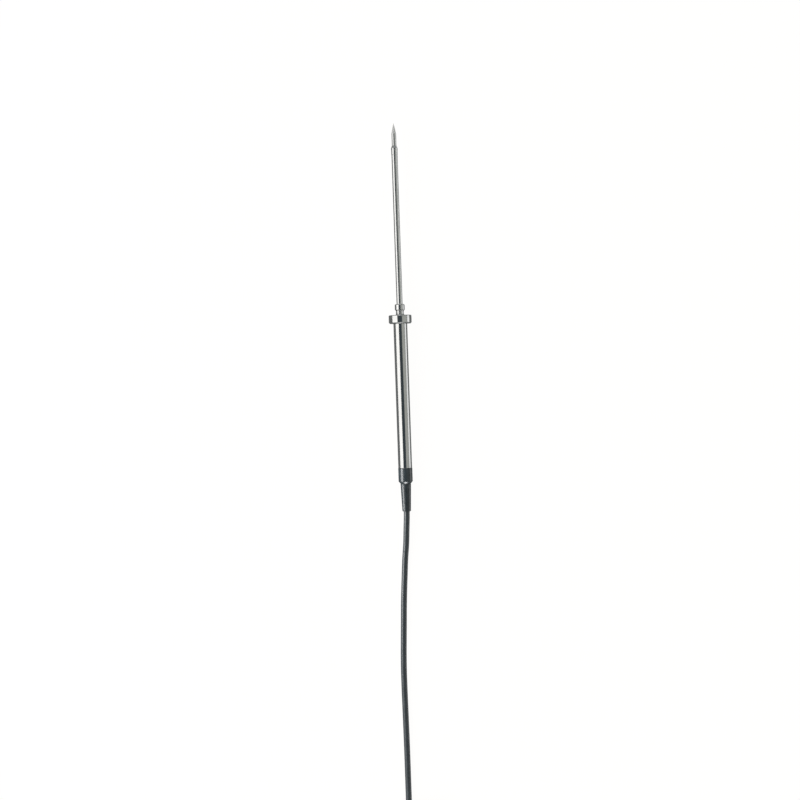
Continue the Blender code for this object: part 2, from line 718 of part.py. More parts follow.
def make_contacts(axis):
    places = [
        (PIN_CIRCLE * math.cos(turn), PIN_CIRCLE * math.sin(turn))
        for turn in (math.radians(45.0 + 360.0 * i / PIN_COUNT) for i in range(PIN_COUNT))
    ]
    holes = [(x, y, PIN_HOLE) for x, y in places]
    bored_bar("contact_insert", INSERT_RADIUS, holes, INSERT_FRONT, INSERT_REAR, "plug_insert", axis)
    pin = [
        (0.0, PIN_FRONT),
        (PIN_RADIUS - PIN_NOSE, PIN_FRONT),
        (PIN_RADIUS, PIN_FRONT - 2 * PIN_NOSE),
        (PIN_RADIUS, PIN_REAR),
        (0.0, PIN_REAR),
    ]
    for number, (x, y) in enumerate(places, 1):
        turned(
            f"contact_pin_{number}", pin, "gold_contact", axis, closed=False, steps=PIN_STEPS,
            location=(x, y, 0.0),
        )
    for number, (x, y) in enumerate(places[:2], 1):
        side = 1 if x > 0 else -1
        core = [
            (side * CORE_OFFSET, 0.0, CABLE_END + GAP),
            (side * CORE_OFFSET, 0.0, CABLE_END + PLUG_CORE_STRAIGHT),
            (x, y, PIN_REAR - PIN_WIRE_STRAIGHT),
            (x, y, PIN_REAR - GAP),
        ]
        tube(f"plug_core_{number}", core, CORE_RADIUS, "core_insulation", axis)


clear_scene()
PROBE = new_collection("grain_probe")
MATERIALS = {name: new_material(name, *look) for name, look in COLOURS.items()}

probe_axis = new_axis("probe_axis", (0.0, PROBE_Y, PROBE_HEIGHT), TILT - math.radians(90.0))
make_tip(probe_axis)
make_ferrule(probe_axis)
make_shaft(probe_axis)
make_guard(probe_axis)
make_handle(probe_axis)
make_cap(probe_axis)
make_strain_relief(probe_axis)
make_wiring(probe_axis)

make_cable()
make_strap()

plug_axis = new_axis("plug_axis", (HANK_CENTRE_X, PLUG_REAR_Y, PLUG_HEIGHT), math.radians(-90.0))
make_plug_shell(plug_axis)
make_coupling(plug_axis)
make_contacts(plug_axis)
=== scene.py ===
"""The grain probe's looks, around the fixed frame: fine turned metal, moulded black parts, the wound
cable and its plug."""

import json
import math

import bmesh
import bpy
from mathutils import Matrix, Vector


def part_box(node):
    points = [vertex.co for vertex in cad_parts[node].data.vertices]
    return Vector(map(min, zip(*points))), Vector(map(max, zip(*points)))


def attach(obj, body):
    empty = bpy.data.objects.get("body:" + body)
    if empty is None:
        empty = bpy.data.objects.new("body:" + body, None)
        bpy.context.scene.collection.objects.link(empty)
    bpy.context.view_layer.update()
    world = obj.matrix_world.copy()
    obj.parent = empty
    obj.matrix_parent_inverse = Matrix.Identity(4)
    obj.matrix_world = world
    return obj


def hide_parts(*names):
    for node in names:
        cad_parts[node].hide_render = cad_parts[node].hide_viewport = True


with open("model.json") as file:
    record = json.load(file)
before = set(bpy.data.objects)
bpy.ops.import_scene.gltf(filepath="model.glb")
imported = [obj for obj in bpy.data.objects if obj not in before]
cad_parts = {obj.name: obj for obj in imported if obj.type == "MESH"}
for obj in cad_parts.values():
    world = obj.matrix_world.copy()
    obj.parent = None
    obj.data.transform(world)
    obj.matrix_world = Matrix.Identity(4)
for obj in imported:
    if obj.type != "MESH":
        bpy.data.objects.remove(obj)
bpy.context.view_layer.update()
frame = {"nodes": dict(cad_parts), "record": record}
MM = 0.001

# Turned surfaces. Rounding takes at most CORNER_MOST_OF_EDGE of an edge. An edge over HELD_EDGE times as long
# as what is taken gets a point EDGE_HOLD past it, which keeps the rest of its shading flat.
SEGMENTS = 144
SAME_POINT = 0.002 * MM
CORNER_STEP_DEG = 18.0
CORNER_LEAST_STEPS = 3
CORNER_MOST_OF_EDGE = 0.48
EDGE_HOLD = 0.03 * MM
HELD_EDGE = 3.0

# Knurling
GRIP_SEGMENTS = 288
FINE_GRIP_SEGMENTS = 384
KNURL_FADE = 0.35 * MM
KNURL_FADE_STEPS = 4
KNURL_EDGE = 0.15 * MM
KNURL_BAND = 0.3 * MM
LONG_STRETCH = 1.0 * MM

# The cable, repeated from the design. ROUTE holds x and y from where it leaves the relief, and z above the
# surface.
CABLE_DIAMETER = 4.0 * MM
ROUTE = (
    (-0.00015, -0.0050, 0.00403),
    (-0.00050, -0.0110, 0.00373),
    (-0.00110, -0.0216, 0.00296),
    (-0.00212, -0.0323, 0.00229),
    (-0.00284, -0.0429, 0.00208),
    (-0.00353, -0.0536, 0.00205),
    (-0.00407, -0.0640, 0.00205),
    (-0.00449, -0.0750, 0.00205),
    (-0.00492, -0.0855, 0.00205),
    (-0.00530, -0.0960, 0.00205),
    (-0.00553, -0.1070, 0.00205),
    (-0.00552, -0.1200, 0.00205),
    (-0.00535, -0.1400, 0.00205),
    (-0.00522, -0.1600, 0.00205),
    (-0.00520, -0.1800, 0.00205),
    (-0.00520, -0.2020, 0.00205),
)

# How the cable is laid
CABLE_STEP = 2.2 * MM
CABLE_BEVEL = 10
CABLE_GAP = 0.05 * MM
HIDDEN_IN_RELIEF = 2.0 * MM
STRAP_RISE_REACH = 30.0 * MM
FOLD_STEPS = 36
RUN_STEPS = 30
TAIL_STEPS = 24
TAIL_FLAT = 0.2

# From the record
COLOURS = {entry["slot"]: tuple(entry["base_color"][:3]) for entry in frame["record"]["materials"]}


def eased(t):
    """0 to 1 with a level start and end, and held outside that."""
    t = min(1.0, max(0.0, t))
    return t * t * (3 - 2 * t)


def smooth(points, spacing):
    """Points about as far apart as said, on a smooth curve through the given ones."""
    points = [Vector(p) for p in points]
    ends = [2 * points[0] - points[1]] + points + [2 * points[-1] - points[-2]]
    found = [points[0]]
    for i in range(1, len(ends) - 2):
        a, b, c, d = ends[i - 1 : i + 3]
        pieces = max(1, round((c - b).length / spacing))
        for k in range(1, pieces + 1):
            t = k / pieces
            found.append(
                0.5
                * (
                    2 * b
                    + (c - a) * t
                    + (2 * a - 5 * b + 4 * c - d) * t**2
                    + (3 * b - a - 3 * c + d) * t**3
                )
            )
    return found


# --- The two axes that everything turned stands on ------------------------------------------------

mounts = {m["name"]: m for m in frame["record"]["mounts"]}


def axis_frame(origin, along):
    """A matrix whose local +Z is the turned pieces' axis, and whose local +X is the row's +X."""
    z = Vector(along).normalized()
    x = Vector((1.0, 0.0, 0.0))
    y = z.cross(x)
    found = Matrix((x, y, z)).transposed().to_4x4()
    found.translation = origin
    return found


def middle_of(node):
    """The middle of a CAD node's box."""
    low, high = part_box(node)
    return (Vector(low) + Vector(high)) / 2


guard_face = mounts["guard_front_face"]
PROBE_ORIGIN = Vector((middle_of("shaft_tube").x, *guard_face["pos_m"][1:]))
PROBE_AXIS = axis_frame(PROBE_ORIGIN, guard_face["axis"])
plug_middle = middle_of("plug_body")
PLUG_REAR = Vector((plug_middle.x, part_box("plug_relief")[0][1], plug_middle.z))
PLUG_AXIS = axis_frame(PLUG_REAR, (0.0, 1.0, 0.0))


def outline_of(node, axis):
    """The (radius, station) outline of a turned CAD node, in order, and whether it closes on itself."""
    mesh = frame["nodes"][node].data
    to_axis = axis.inverted()
    index, points = {}, []
    of_vertex = {}
    for vertex in mesh.vertices:
        p = to_axis @ vertex.co
        if p.x < -SAME_POINT or abs(p.y) > SAME_POINT:
            continue
        key = (round(p.x / SAME_POINT), round(p.z / SAME_POINT))
        near = [(key[0] + i, key[1] + j) for i in (-1, 0, 1) for j in (-1, 0, 1)]
        found = next((index[k] for k in near if k in index), None)
        if found is None:
            found = index[key] = len(points)
            points.append((max(0.0, p.x), p.z))
        of_vertex[vertex.index] = found
    joined = {i: set() for i in range(len(points))}
    for a, b in mesh.edge_keys:
        if a in of_vertex and b in of_vertex and of_vertex[a] != of_vertex[b]:
            a, b = of_vertex[a], of_vertex[b]
            if points[a][0] < SAME_POINT and points[b][0] < SAME_POINT:
                continue
            joined[a].add(b)
            joined[b].add(a)
    ends = [i for i, others in joined.items() if len(others) == 1]
    # An open outline starts at its front end, and a closed one at the outer of its front corners.
    if ends:
        start = max(ends, key=lambda i: points[i][1])
    else:
        start = max(joined, key=lambda i: (points[i][1], points[i][0]))
    order, last = [start], None
    while True:
        ahead = [i for i in joined[order[-1]] if i != last and i not in order[1:]]
        ahead = [i for i in ahead if i != start or len(order) > 2]
        if not ahead or ahead[0] == start:
            break
        # Down the outer side first, so that the faces point out.
        step = max(ahead, key=lambda i: points[i][0]) if len(order) == 1 else ahead[0]
        last = order[-1]
        order.append(step)
    outline = [points[i] for i in order]
    if ends:
        outline = [(0.0, outline[0][1])] * (outline[0][0] > SAME_POINT) + outline
        outline += [(0.0, outline[-1][1])] * (outline[-1][0] > SAME_POINT)
    return outline, not ends


# --- Turned surfaces ------------------------------------------------------------------------------


def rounded(outline, closed, radius, curve_below=0.0):
    """The outline with each corner rounded to the radius. Corners under curve_below degrees belong to a curve
    that the frame holds in steps, so they are smoothed over their whole length."""
    points = [Vector(p) for p in outline]
    count = len(points)
    found = []
    for i, here in enumerate(points):
        if not closed and i in (0, count - 1):
            found.append(here)
            continue
        before, after = points[i - 1] - here, points[(i + 1) % count] - here
        turn = math.pi - before.angle(after)
        mild = math.degrees(turn) < curve_below
        reach = CORNER_MOST_OF_EDGE * min(before.length, after.length)
        if not mild:
            reach = min(reach, radius * math.tan(turn / 2))
        a, b = here + before.normalized() * reach, here + after.normalized() * reach
        steps = max(CORNER_LEAST_STEPS, round(math.degrees(turn) / CORNER_STEP_DEG))
        if not mild and before.length > HELD_EDGE * (reach + EDGE_HOLD):
            found.append(here + before.normalized() * (reach + EDGE_HOLD))
        for k in range(steps + 1):
            t = k / steps
            found.append((1 - t) ** 2 * a + 2 * t * (1 - t) * here + t**2 * b)
        if not mild and after.length > HELD_EDGE * (reach + EDGE_HOLD):
            found.append(here + after.normalized() * (reach + EDGE_HOLD))
    return found


def new_object(name, data, place=None):
    """An object in the scene, placed by a matrix where one is given."""
    found = bpy.data.objects.new(name, data)
    bpy.context.scene.collection.objects.link(found)
    if place is not None:
        found.matrix_world = place
    return found


def shade_smooth(mesh):
    mesh.polygons.foreach_set("use_smooth", [True] * len(mesh.polygons))
    mesh.update()


def lathe(name, outline, closed, place, segments=SEGMENTS, shape=None):
    """A mesh turned about local +Z. shape(angle, radius, station), if given, returns the radius there."""
    made = bmesh.new()
    rings = []
    for radius, station in outline:
        if radius < SAME_POINT:
            rings.append([made.verts.new((0.0, 0.0, station))])
            continue
        ring = []
        for k in range(segments):
            angle = 2 * math.pi * k / segments
            r = shape(angle, radius, station) if shape else radius
            ring.append(made.verts.new((r * math.cos(angle), r * math.sin(angle), station)))
        rings.append(ring)
    pairs = list(zip(rings, rings[1:] + rings[:1]))[: None if closed else -1]
    for upper, lower in pairs:
        for k in range(segments):
            n = (k + 1) % segments
            if len(upper) == 1:
                made.faces.new((upper[0], lower[k], lower[n]))
            elif len(lower) == 1:
                made.faces.new((upper[k], lower[0], upper[n]))
            else:
                made.faces.new((upper[k], lower[k], lower[n], upper[n]))
    bmesh.ops.recalc_face_normals(made, faces=made.faces)
    mesh = bpy.data.meshes.new(name)
    made.to_mesh(mesh)
    made.free()
    shade_smooth(mesh)
    return new_object(name, mesh, place)


def with_stations(outline, stations):
    """The outline with a point added wherever a long stretch of it passes one of the stations."""
    found = []
    for here, ahead in zip(outline, outline[1:] + outline[:1]):
        found.append(here)
        if (ahead - here).length < LONG_STRETCH:
            continue
        passed = [z for z in stations if min(here.y, ahead.y) < z < max(here.y, ahead.y)]
        for z in sorted(passed, reverse=here.y > ahead.y):
            found.append(here.lerp(ahead, (z - here.y) / (ahead.y - here.y)))
    return found


def knurled(front, rear, count, depth, least_radius):
    """A shape for lathe: straight knurling between two stations, fading out at its ends."""

    def shape(angle, radius, station):
        if radius < least_radius:
            return radius
        share = eased((front - station) / KNURL_FADE) * eased((station - rear) / KNURL_FADE)
        tooth = abs((angle * count / math.pi) % 2 - 1)
        return radius - depth * share * tooth

    return shape


def turn_node(node, material, axis=PROBE_AXIS, radius=0.06 * MM, curve_below=0.0, **options):
    """A fine turned piece that stands for a CAD node, with the same outline and rounded edges."""
    outline, closed = outline_of(node, axis)
    outline = rounded(outline, closed, radius, curve_below)
    made = lathe(f"{node}_fine", outline, closed, axis, **options)
    return dress(made, node, material)


def turn_grip(node, margins, count, depth, body="root", segments=GRIP_SEGMENTS):
    """A piece of the plug, knurled on its widest stretch up to the margins at its front and rear."""
    outline, closed = outline_of(node, PLUG_AXIS)
    widest = max(radius for radius, _ in outline)
    front = max(station for _, station in outline) - margins[0]
    rear = min(station for _, station in outline) + margins[1]
    grip = knurled(front, rear, count, depth, widest - KNURL_BAND)
    steps = [KNURL_FADE * k / KNURL_FADE_STEPS for k in range(KNURL_FADE_STEPS + 1)]
    stations = [front - step for step in steps] + [rear + step for step in steps]
    outline = with_stations(rounded(outline, closed, KNURL_EDGE), stations)
    made = lathe(f"{node}_fine", outline, closed, PLUG_AXIS, segments, grip)
    return dress(made, node, NICKEL, body)


def dress(made, node, material, body="root"):
    """Gives a piece its material and its body, and lets it stand for a CAD node."""
    made.data.materials.clear()
    made.data.materials.append(material)
    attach(made, body)
    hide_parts(node)
    return made


# --- Materials ------------------------------------------------------------------------------------


# Texture scales: marks in the metal, dull spots on it, slow changes in mouldings, the strap's weave
POLISH_MARKS = 5200.0
POLISH_MARKS_ALONG = 55.0
TURNING_MARKS = 9000.0
SMUDGES = 130.0
HANDLING = 90.0
CLOUDS = 160.0
THREADS = 850.0
NAP = 5200.0

# How the spots differ: tone as a factor, roughness as a factor on polished steel and a difference elsewhere
SMUDGE_TONE = 0.93
SMUDGE_ROUGHNESS = (0.72, 1.25)
HANDLING_TONE = 0.96
HANDLING_ROUGHNESS = (-0.02, 0.04)
CLOUD_ROUGHNESS = (-0.05, 0.06)
NAP_TONE = 2.0

# Depths of the marks and the weave
MARK_DEPTH = 0.0012 * MM
THREAD_DEPTH = 0.035 * MM
NAP_DEPTH = 0.04 * MM

# The bush grows smoother between these two stations, from its neck to its collar
COLLAR_STATIONS = (2.8 * MM, 3.2 * MM)
NECK_ROUGHNESS = 0.36
COLLAR_ROUGHNESS = 0.20


class Look:
    """A material with a Principled shader, and short calls for the nodes that vary it."""

    def __init__(self, name, colour, roughness, metallic=0.0, **constants):
        self.material = bpy.data.materials.new(name)
        self.material.use_nodes = True
        self.nodes = self.material.node_tree.nodes
        self.links = self.material.node_tree.links
        self.shader = self.nodes["Principled BSDF"]
        self.set("Base Color", (*colour, 1.0))
        self.set("Roughness", roughness)
        self.set("Metallic", metallic)
        for socket, value in constants.items():
            self.set(socket.replace("_", " "), value)
        self.colour = colour
        self.place = self.nodes.new("ShaderNodeTexCoord").outputs["Object"]

    def set(self, socket, value):
        self.shader.inputs[socket].default_value = value

    def node(self, kind, values=(), **settings):
        made = self.nodes.new(kind)
        for name, value in settings.items():
            setattr(made, name, value)
        for socket, value in dict(values).items():
            if hasattr(value, "links"):
                self.links.new(value, made.inputs[socket])
            else:
                made.inputs[socket].default_value = value
        return made

    def stretched(self, x, y, z):
        """The piece's own coordinates, each multiplied."""
        made = self.node("ShaderNodeVectorMath", {0: self.place, 1: (x, y, z)}, operation="MULTIPLY")
        return made.outputs["Vector"]

    def round_and_along(self, scale):
        """A number that grows along a turned piece and across its end faces, for marks that run round it."""
        flat = self.stretched(1.0, 1.0, 0.0)
        across = self.node("ShaderNodeVectorMath", {0: flat}, operation="LENGTH").outputs["Value"]
        apart = self.node("ShaderNodeSeparateXYZ", {0: self.place}).outputs["Z"]
        both = self.node("ShaderNodeMath", {0: across, 1: apart}, operation="ADD").outputs[0]
        return self.node("ShaderNodeMath", {0: both, 1: scale}, operation="MULTIPLY").outputs[0]

    def noise(self, vector, scale=1.0, detail=3.0, roughness=0.55):
        values = {"Vector": vector, "Scale": scale, "Detail": detail, "Roughness": roughness}
        return self.node("ShaderNodeTexNoise", values).outputs[0]

    def noise_along(self, number):
        values = {"W": number, "Scale": 1.0, "Detail": 4.0}
        return self.node("ShaderNodeTexNoise", values, noise_dimensions="1D").outputs[0]

    def between(self, value, low, high, start=0.3, end=0.7):
        values = {"Value": value, "From Min": start, "From Max": end, "To Min": low, "To Max": high}
        return self.node("ShaderNodeMapRange", values).outputs[0]

    def vary_roughness(self, value, low, high):
        self.links.new(self.between(value, low, high), self.shader.inputs["Roughness"])

    def vary_colour(self, value, other):
        made = self.node("ShaderNodeMix", {0: self.between(value, 0.0, 1.0)}, data_type="RGBA")
        made.inputs["A"].default_value = (*self.colour, 1.0)
        made.inputs["B"].default_value = (*other, 1.0)
        self.links.new(made.outputs["Result"], self.shader.inputs["Base Color"])

    def bump(self, height, distance):
        """Adds a bump, distance metres deep, on top of any earlier one."""
        made = self.node("ShaderNodeBump", {"Height": height, "Distance": distance, "Strength": 1.0})
        old = self.shader.inputs["Normal"].links
        if old:
            self.links.new(old[0].from_socket, made.inputs["Normal"])
        self.links.new(made.outputs["Normal"], self.shader.inputs["Normal"])


def scaled(colour, by):
    """The colour made darker or paler."""
    return tuple(min(1.0, c * by) for c in colour)


def polished_steel(name, lengthwise, roughness=0.12, **constants):
    """Polished stainless steel with faint marks, along a tube or round a turned piece."""
    colour = COLOURS["polished_steel"]
    look = Look(name, colour, roughness, 1.0, **constants)
    if lengthwise:
        fine = look.stretched(POLISH_MARKS, POLISH_MARKS, POLISH_MARKS_ALONG)
        marks = look.noise(fine, detail=4.0)
    else:
        marks = look.noise_along(look.round_and_along(POLISH_MARKS))
    smudges = look.noise(look.place, scale=SMUDGES, detail=4.0, roughness=0.6)
    look.vary_colour(smudges, scaled(colour, SMUDGE_TONE))
    look.vary_roughness(smudges, *(factor * roughness for factor in SMUDGE_ROUGHNESS))
    look.bump(marks, MARK_DEPTH)
    return look.material


def bush_steel():
    """The bush: a bright collar, with a duller neck and foot behind it."""
    colour = COLOURS["polished_steel"]
    look = Look("bush_steel", colour, COLLAR_ROUGHNESS, 1.0, **TURNED)
    station = look.node("ShaderNodeSeparateXYZ", {0: look.place}).outputs["Z"]
    roughness = look.between(station, NECK_ROUGHNESS, COLLAR_ROUGHNESS, *COLLAR_STATIONS)
    look.links.new(roughness, look.shader.inputs["Roughness"])
    look.bump(look.noise_along(look.round_and_along(POLISH_MARKS)), MARK_DEPTH)
    return look.material


def satin_metal(name, slot, roughness=0.28):
    """Plated or satin metal, with fine turning marks and a little dullness from handling."""
    colour = COLOURS[slot]
    look = Look(name, colour, roughness, 1.0)
    marks = look.noise_along(look.round_and_along(TURNING_MARKS))
    handling = look.noise(look.place, scale=HANDLING, detail=3.0)
    look.vary_colour(handling, scaled(colour, HANDLING_TONE))
    look.vary_roughness(handling, *(roughness + change for change in HANDLING_ROUGHNESS))
    look.bump(marks, MARK_DEPTH)
    return look.material


def moulded(name, slot, roughness, grain, grain_size, paler=1.5, **constants):
    """Moulded plastic or rubber: a fine grain, and slow changes of gloss and tone."""
    colour = COLOURS[slot]
    look = Look(name, colour, roughness, **constants)
    slow = look.noise(look.place, scale=CLOUDS, detail=3.0)
    look.vary_colour(slow, scaled(colour, paler))
    look.vary_roughness(slow, *(roughness + change for change in CLOUD_ROUGHNESS))
    look.bump(look.noise(look.place, scale=1.0 / grain_size, detail=4.0), grain)
    return look.material


def woven(name, slot):
    """Narrow woven strap: fine threads in all three directions, with a short nap."""
    colour = COLOURS[slot]
    look = Look(name, colour, 0.9, Sheen_Weight=0.35, Sheen_Roughness=0.5)
    nap = look.noise(look.place, scale=NAP, detail=3.0)
    look.vary_colour(nap, scaled(colour, NAP_TONE))
    for direction in ("X", "Y", "Z"):
        values = {"Vector": look.place, "Scale": THREADS, "Distortion": 0.25}
        threads = look.node("ShaderNodeTexWave", values, bands_direction=direction)
        look.bump(threads.outputs["Fac"], THREAD_DEPTH)
    look.bump(nap, NAP_DEPTH)
    return look.material


# Turning marks spread a reflection along the axis.
TURNED = {"Anisotropic": 0.7, "Anisotropic_Rotation": 0.25}
STEEL_ROUND = polished_steel("steel_turned", lengthwise=False, roughness=0.20, **TURNED)
STEEL_LONG = polished_steel("steel_drawn", lengthwise=True)
LANCE_ROUND = polished_steel("lance_turned", lengthwise=False, roughness=0.20)
LANCE_LONG = polished_steel("lance_drawn", lengthwise=True, roughness=0.20)
BUSH = bush_steel()
SATIN = satin_metal("steel_satin", "satin_steel")
NICKEL = satin_metal("nickel_plate", "nickel_plate", 0.24)
GOLD = satin_metal("gold_flash", "gold_contact", 0.22)
TIN = satin_metal("tinned_copper", "tinned_wire", 0.30)
PLASTIC = moulded("black_plastic", "black_plastic", 0.26, 0.004 * MM, 0.16 * MM)
RUBBER = moulded("black_rubber", "black_rubber", 0.46, 0.006 * MM, 0.12 * MM, paler=1.7)
RELIEF = moulded("relief_moulding", "black_rubber", 0.27, 0.003 * MM, 0.14 * MM)
JACKET = moulded("cable_jacket", "cable_jacket", 0.28, 0.005 * MM, 0.20 * MM, paler=1.25)
STRAP = woven("strap_weave", "strap_fabric")
CERAMIC = moulded("ceramic", "ceramic", 0.5, 0.010 * MM, 0.08 * MM, paler=0.92)
RESIN = moulded("potting_resin", "potting_resin", 0.26, 0.004 * MM, 0.30 * MM, paler=1.4)
INSULATION = moulded("core_insulation", "core_insulation", 0.40, 0.003 * MM, 0.10 * MM, paler=0.85)
INSERT = moulded("plug_insert", "plug_insert", 0.48, 0.004 * MM, 0.10 * MM)
GLASS = moulded("glass_bead", "glass_bead", 0.16, 0.002 * MM, 0.20 * MM)


# --- Camera ---------------------------------------------------------------------------------------

LEAN_DEG = 1.97
LENS = 60.0
SENSOR = 36.0
VIEW_CENTRE = Vector((-1.94 * MM, -54.5 * MM, 6.0 * MM))
VIEW_WIDTH = 533.3 * MM


def make_camera():
    """Straight above the probe, turned so that its tip leans to the left."""
    data = bpy.data.cameras.new("camera")
    data.lens = LENS
    data.sensor_width = SENSOR
    camera = new_object("camera", data)
    height = VIEW_WIDTH * LENS / SENSOR
    camera.location = VIEW_CENTRE + Vector((0.0, 0.0, height))
    camera.rotation_euler = (0.0, 0.0, -math.radians(LEAN_DEG))
    data.clip_start = 0.01
    data.clip_end = 20.0
    bpy.context.scene.camera = camera


# --- Cable ----------------------------------------------------------------------------------------


def hank_route():
    """The wound cable: two turns wide and two high, outside first and inside last, ending at the plug."""
    low, high = (Vector(v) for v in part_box("cable_hank"))
    d = CABLE_DIAMETER
    outer = (high.x - low.x - d) / 2
    inner = outer - d
    x0 = (low.x + high.x) / 2
    top, bottom = high.y - outer - d / 2, low.y + outer + d / 2
    run = top - bottom
    floor_z, lifted_z = d / 2 + CABLE_GAP, low.z + d / 2
    tie = middle_of("cable_tie")

    def height(layer, x, y):
        # The bottom layer lies on the surface, and rises onto the strap where it passes over it.
        near = eased(1 - abs(y - tie.y) / STRAP_RISE_REACH) if x < x0 else 0.0
        base = floor_z + (lifted_z - floor_z) * near
        return base + layer * d

    # One row for each lap: the turn radius and then the layer at the right run's start and end, and the two
    # shares of the run between which both change.
    laps = (
        (outer, outer, 0, 1, 0.60, 1.00),
        (outer, inner, 1, 1, 0.45, 0.80),
        (inner, inner, 1, 0, 0.30, 0.65),
    )
    points = []

    def add(x, y, layer):
        points.append(Vector((x, y, height(layer, x, y))))

    radius, layer = outer, 0
    for lap in range(len(laps) + 1):
        for k in range(RUN_STEPS):
            add(x0 - radius, top - run * k / RUN_STEPS, layer)
        for k in range(FOLD_STEPS):
            turn = math.pi * k / FOLD_STEPS
            add(x0 - radius * math.cos(turn), bottom - radius * math.sin(turn), layer)
        if lap == len(laps):
            break
        r0, r1, layer0, layer1, begin, end = laps[lap]
        for k in range(RUN_STEPS):
            t = k / RUN_STEPS
            share = eased((t - begin) / (end - begin))
            add(x0 + r0 + (r1 - r0) * share, bottom + run * t, layer0 + (layer1 - layer0) * share)
        radius, layer = r1, layer1
        for k in range(FOLD_STEPS):
            turn = math.pi * k / FOLD_STEPS
            add(x0 + radius * math.cos(turn), top + radius * math.sin(turn), layer)
    start = Vector((x0 + inner, bottom, height(0, x0 + inner, bottom)))
    # It leaves sideways before it rises, so that it stays clear of the turn above it.
    for k in range(TAIL_STEPS + 1):
        t = k / TAIL_STEPS
        aside, up = eased(t), eased((t - TAIL_FLAT) / (1 - TAIL_FLAT))
        x = start.x + (PLUG_REAR.x - start.x) * aside
        y = start.y + (PLUG_REAR.y - start.y) * t
        points.append(Vector((x, y, start.z + (PLUG_REAR.z - start.z) * up)))
    return points


def make_cable():
    """The whole cable as one curve, from inside the strain relief to the plug, and where it leaves the
    relief."""
    rear = min(station for _, station in outline_of("strain_relief", PROBE_AXIS)[0])
    relief_rear = PROBE_AXIS @ Vector((0.0, 0.0, rear))
    inside = PROBE_AXIS.to_3x3() @ Vector((0.0, 0.0, HIDDEN_IN_RELIEF))
    route = [relief_rear + inside, relief_rear]
    route += [Vector((relief_rear.x + x, relief_rear.y + y, z)) for x, y, z in ROUTE]
    points = smooth(route, CABLE_STEP) + hank_route()
    plug_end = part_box("cable_tail")[1][1]
    points.append(Vector((PLUG_REAR.x, plug_end, PLUG_REAR.z)))
    curve = bpy.data.curves.new("cable", "CURVE")
    curve.dimensions = "3D"
    curve.bevel_depth = CABLE_DIAMETER / 2
    curve.bevel_resolution = CABLE_BEVEL
    curve.use_fill_caps = True
    spline = curve.splines.new("POLY")
    spline.points.add(len(points) - 1)
    for point, co in zip(spline.points, points):
        point.co = (*co, 1.0)
    spline.use_smooth = True
    cable = new_object("cable", curve)
    curve.materials.append(JACKET)
    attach(cable, "root")
    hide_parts("cable_run", "cable_hank", "cable_tail")
    return cable, relief_rear


# --- Probe ----------------------------------------------------------------------------------------


def make_probe():
    """The probe's turned pieces, outside and inside."""
    turn_node("tip_sleeve", LANCE_ROUND, radius=0.05 * MM, curve_below=14.0)
    turn_node("tip_ferrule", LANCE_ROUND, radius=0.12 * MM)
    turn_node("shaft_tube", LANCE_LONG)
    turn_node("shaft_bush", BUSH, radius=0.10 * MM, curve_below=24.0)
    turn_node("hand_guard", STEEL_ROUND, radius=0.08 * MM)
    turn_node("handle_tube", STEEL_LONG, radius=0.12 * MM)
    turn_node("rear_cap", PLASTIC, radius=0.12 * MM, curve_below=24.0)
    turn_node("strain_relief", RELIEF, radius=0.25 * MM)
    turn_node("sensor_bead", GLASS, radius=0.25 * MM, segments=48)
    turn_node("pull_stop", SATIN, radius=0.2 * MM, segments=96)
    for node in ("guard_seal", "cap_seal"):
        turn_node(node, RUBBER, curve_below=60.0, segments=96)


def make_plug():
    """The plug's turned pieces, with the screw ring on its own body."""
    turn_node("plug_relief", RUBBER, PLUG_AXIS, radius=0.25 * MM)
    turn_node("plug_body", NICKEL, PLUG_AXIS, radius=0.12 * MM)
    turn_grip("clamp_nut", (2.2 * MM, 2.4 * MM), count=36, depth=0.22 * MM)
    ring_margins = (3.4 * MM, 2.2 * MM)
    turn_grip("coupling_nut", ring_margins, 48, 0.28 * MM, "screw_ring", FINE_GRIP_SEGMENTS)


def dress_cad_nodes():
    """Materials for the CAD nodes that keep their own mesh."""
    looks = {
        "lead_insulator": CERAMIC,
        "front_potting": RESIN,
        "cable_in_handle": JACKET,
        "retaining_ring": SATIN,
        "contact_insert": INSERT,
    }
    for number in (1, 2):
        looks[f"sensor_lead_{number}"] = TIN
        looks[f"splice_crimp_{number}"] = TIN
        looks[f"splice_sleeve_{number}"] = RUBBER
        looks[f"cable_core_{number}"] = INSULATION
        looks[f"plug_core_{number}"] = INSULATION
    for number in (1, 2, 3, 4):
        looks[f"contact_pin_{number}"] = GOLD
    for node, material in looks.items():
        mesh = frame["nodes"][node].data
        mesh.materials.clear()
        mesh.materials.append(material)


# --- Strap ----------------------------------------------------------------------------------------

# Shares of the way round are counted from the top's middle.
STRAP_THICKNESS = 0.36 * MM
STRAP_CORNER = 2.3 * MM
STRAP_STEPS = 120
STRAP_START = -0.13
STRAP_END = 1.10
STRAP_INSET = 0.05 * MM
LAP_OUT_AT = 0.72
LAP_OUT_OVER = 0.14
LAP_OUT = 0.04 * MM
STRAP_END_STEPS = 5
STRAP_END_NARROWING = 0.985
STRAP_ACROSS = (-0.5, -0.46, 0.46, 0.5)
STRAP_EDGE_THINNING = 0.25


